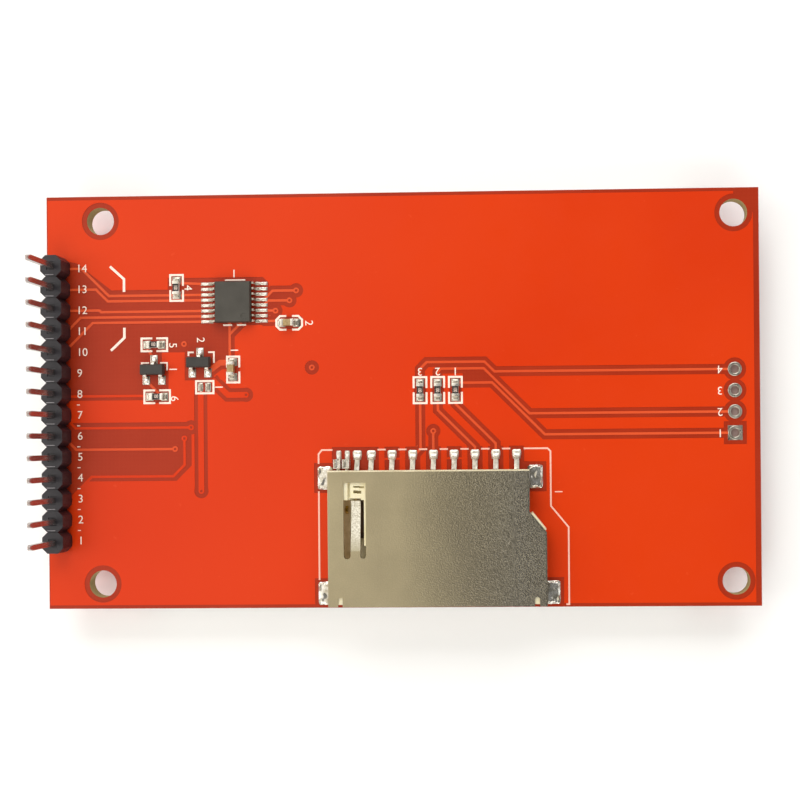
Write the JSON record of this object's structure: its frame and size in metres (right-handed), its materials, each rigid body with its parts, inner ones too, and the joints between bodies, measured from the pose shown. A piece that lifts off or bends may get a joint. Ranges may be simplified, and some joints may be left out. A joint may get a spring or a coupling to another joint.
{
  "type": "tft display module",
  "caption": "Flat touch display on a red carrier board, with a row of header pins, a touch controller and a socket for a full-size memory card on the back.",
  "frame": {"origin": "middle of the board's length and width, on the display's face", "axes": "+Z out of the component side of the board, +X along the board's length away from the pin header, -Y the way a card is pulled out"},
  "size_m": [0.086, 0.05, 0.0142],
  "materials": {
    "laminate": "satin",
    "solder_mask": "gloss",
    "tin": "satin",
    "ink": "matt",
    "black_plastic": "satin",
    "pin_metal": "bright tinned brass",
    "cream_plastic": "satin",
    "shell_steel": "satin, tinned",
    "contact_gold": "bright",
    "moulded_black": "matt",
    "resistor_black": "satin",
    "capacitor_tan": "satin",
    "touch_film": "gloss",
    "clear_glass": "polished",
    "white_tape": "matt",
    "white_plastic": "satin",
    "polarizer_dark": "gloss",
    "display_glass": "polished",
    "diffuser": "satin",
    "reflector_white": "satin",
    "led_phosphor": "matt",
    "silicon": "polished",
    "polyimide": "satin"
  },
  "bodies": {
    "root": {"circuit_board": "laminate", "copper_back": "solder_mask", "copper_front": "solder_mask", "tinned_pads": "tin", "printed_legend": "ink", "solder_joints": "tin", "header_housing": "black_plastic", "header_pin_1": "pin_metal", "header_pin_2": "pin_metal", "header_pin_3": "pin_metal", "header_pin_4": "pin_metal", "header_pin_5": "pin_metal", "header_pin_6": "pin_metal", "header_pin_7": "pin_metal", "header_pin_8": "pin_metal", "header_pin_9": "pin_metal", "header_pin_10": "pin_metal", "header_pin_11": "pin_metal", "header_pin_12": "pin_metal", "header_pin_13": "pin_metal", "header_pin_14": "pin_metal", "sd_base": "cream_plastic", "sd_shell": "shell_steel", "sd_contact_1": "contact_gold", "sd_contact_2": "contact_gold", "sd_contact_3": "contact_gold", "sd_contact_4": "contact_gold", "sd_contact_5": "contact_gold", "sd_contact_6": "contact_gold", "sd_contact_7": "contact_gold", "sd_contact_8": "contact_gold", "sd_contact_9": "contact_gold", "sd_switch_springs": "contact_gold", "touch_chip": "moulded_black", "touch_chip_legs": "tin", "transistor": "moulded_black", "regulator": "moulded_black", "resistor_1": "resistor_black", "resistor_2": "resistor_black", "resistor_3": "resistor_black", "resistor_4": "resistor_black", "resistor_5": "resistor_black", "resistor_6": "resistor_black", "capacitor_1": "capacitor_tan", "capacitor_2": "capacitor_tan", "touch_film": "touch_film", "touch_glass": "clear_glass", "touch_tape": "white_tape", "display_frame": "white_plastic", "polarizers": "polarizer_dark", "filter_glass": "display_glass", "transistor_glass": "display_glass", "light_films": "diffuser", "light_guide": "diffuser", "reflector": "reflector_white", "led_strip": "led_phosphor", "driver_chip": "silicon", "display_flex": "polyimide", "touch_flex": "polyimide", "mounting_tape": "white_tape"}
  },
  "joints": []
}
